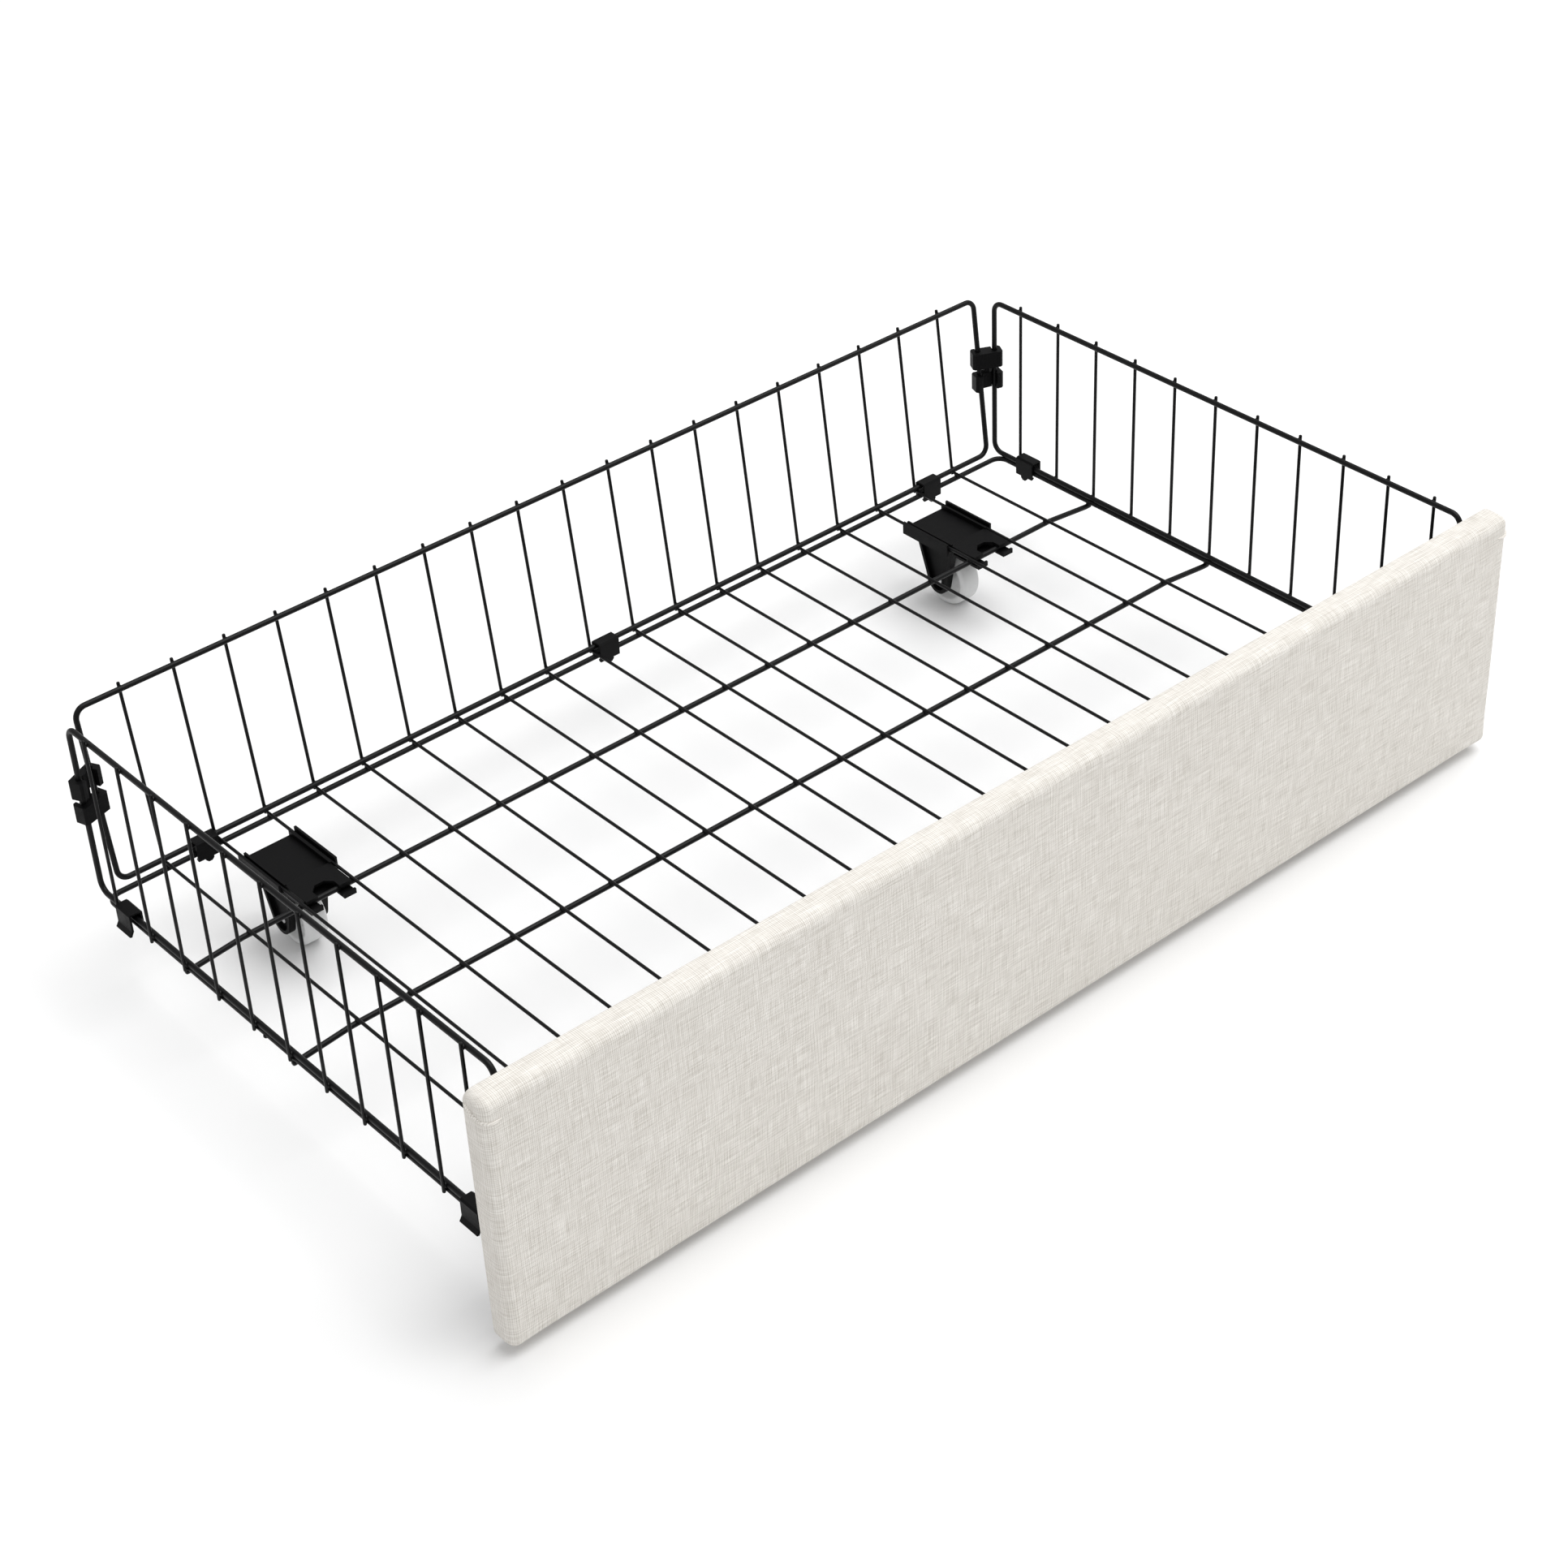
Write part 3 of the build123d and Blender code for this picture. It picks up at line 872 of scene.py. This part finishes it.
def fold_path(low, high, way):
    """Rough line of a corner fold: from the back of one end, falling forward, to a hook on the front."""
    end = high.x if way > 0 else low.x
    marks = (
        (0.0, 0.0265, 0.007),
        (0.0, 0.0200, 0.010),
        (0.0, 0.0140, 0.0135),
        (0.002, 0.0070, 0.0165),
        (0.006, 0.0030, 0.0180),
        (0.011, 0.0020, 0.0180),
        (0.016, 0.0020, 0.0165),
    )
    return [Vector((end - way * inward, low.y + back, high.z - drop)) for inward, back, drop in marks]


def corner_fold(cover, way):
    """Edge of the folded cloth at a top corner: a thin tapering strip pressed on the pad."""
    low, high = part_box("front_cover")
    found = [cover.closest_point_on_mesh(point) for point in fold_path(low, high, way)]
    points = [location for _, location, _, _ in found]
    last = len(points) - 1
    rings, cloth = [], []
    for index, (_, point, normal, _) in enumerate(found):
        tangent = points[min(index + 1, last)] - points[max(index - 1, 0)]
        side = tangent.cross(normal).normalized()
        size = max(FOLD_TIP_SHARE, math.sqrt(math.sin(math.pi * index / last)))
        ring = oval(point, side * FOLD_HALF_WIDTH * size, normal * FOLD_HALF_T * size, sides=10)
        rings.append(ring)
        cloth += [(corner.y, corner.z) for corner in ring]
    vertices, faces = skin(rings, closed=False)
    fold = new_object("corner_fold_right" if way > 0 else "corner_fold_left", vertices, faces)
    lay_weave(fold, cloth)
    face_outward(fold)
    subdivide(fold, 2)
    return place(fold, LINEN)


def lining_height(x_in, z_in, thickness):
    """Rise of the lining over the board: full at its turned-under hem, thinner and gently rippled inside."""
    inside = min(1.0, max(0.0, min(x_in, z_in) - HEM_WIDTH) / FRONT_CELL)
    ripple = 1.0
    for turn_x, turn_z in (LONG_RIPPLE, CROSS_RIPPLE):
        ripple *= math.sin(x_in * turn_x + z_in * turn_z)
    return thickness * (1.0 - inside * (HEM_SHARE + RIPPLE_SHARE * ripple))


def lining_sheet():
    """Thin lining cloth over the front's back, hemmed and stapled on."""
    low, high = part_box("front_lining")
    size = high - low
    columns, rows, flat = grid(0.0, 0.0, size.x, size.z)
    board_side = [low + Vector((x, 0, z)) for x, z in flat]
    basket_side = []
    for x, z in flat:
        rise = lining_height(min(x, size.x - x), min(z, size.z - z), size.y)
        basket_side.append(low + Vector((x, rise, z)))
    start = len(flat)
    rim = list(dict.fromkeys(index for index, _, _ in pad_edge(columns, rows)))
    faces = grid_faces(columns, rows, 0) + grid_faces(columns, rows, start)
    faces += band(rim, [start + index for index in rim])
    sheet = new_object("lining_sheet", board_side + basket_side, faces)
    face_outward(sheet)
    return place(sheet, LINING, replaced=["front_lining"])


def spaced(low, high):
    """Places along an edge, about one staple pitch apart, with half a pitch left at each end."""
    count = round((high - low) / STAPLE_PITCH)
    return [low + (high - low) * (k + 0.5) / count for k in range(count)]


def staples():
    """Staples along the lining's hem, lying along its edges."""
    low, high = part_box("front_lining")
    inset = HEM_WIDTH / 2
    spots = [(x, z, ALONG_X) for x in spaced(low.x, high.x) for z in (low.z + inset, high.z - inset)]
    spots += [(x, z, UP) for z in spaced(low.z, high.z) for x in (low.x + inset, high.x - inset)]
    meshes = []
    for x, z, along in spots:
        centre = Vector((x, high.y, z))
        reach = along * STAPLE_LENGTH / 2
        meshes.append(tube([centre - reach, centre + reach], ALONG_Y, STAPLE_WIRE_R, sides=8))
    vertices, faces = joined(meshes)
    return place(new_object("lining_staples", vertices, faces), STEEL)


front = padded_front()
corner_fold(front, -1)
corner_fold(front, 1)
lining_sheet()
staples()


# Stage, light and camera


def stage():
    bpy.ops.mesh.primitive_plane_add(size=FLOOR_SIZE)
    floor = bpy.context.object
    floor.name = "floor"
    floor.data.materials.append(pale_floor())


def soft_light(name, at, aim, size, power):
    lamp = bpy.data.lights.new(name, "AREA")
    lamp.size = size
    lamp.energy = power
    obj = bpy.data.objects.new(name, lamp)
    obj.location = at
    obj.rotation_euler = (aim - at).to_track_quat("-Z", "Y").to_euler()
    bpy.context.scene.collection.objects.link(obj)


def white_surround():
    """Even soft light all round, and plain white where the camera sees past the floor."""
    world = bpy.data.worlds.new("studio")
    bpy.context.scene.world = world
    world.use_nodes = True
    tree = world.node_tree
    path = add_node(tree, "ShaderNodeLightPath")
    inputs = {"Value": path.outputs["Is Camera Ray"], "To Min": SURROUND_LIGHT, "To Max": 1.0}
    strength = add_node(tree, "ShaderNodeMapRange", inputs)
    shader = tree.nodes["Background"]
    set_input(tree, shader.inputs["Strength"], strength.outputs["Result"])
    set_input(tree, shader.inputs["Color"], (1.0, 1.0, 1.0, 1.0))


def photo_camera():
    data = bpy.data.cameras.new("photo_camera")
    data.sensor_width = 36.0
    data.lens = CAMERA_LENS_MM
    camera = bpy.data.objects.new("photo_camera", data)
    turn = (CAMERA_AIM - CAMERA_AT).to_track_quat("-Z", "Y").to_matrix().to_4x4()
    camera.matrix_world = Matrix.Translation(CAMERA_AT) @ turn @ Matrix.Rotation(CAMERA_ROLL, 4, "Z")
    bpy.context.scene.collection.objects.link(camera)
    bpy.context.scene.camera = camera


stage()
white_surround()
soft_light("top", LAMP_AT, Vector(), LAMP_SIZE, LAMP_POWER)
bpy.context.scene.view_settings.view_transform = "Standard"
photo_camera()
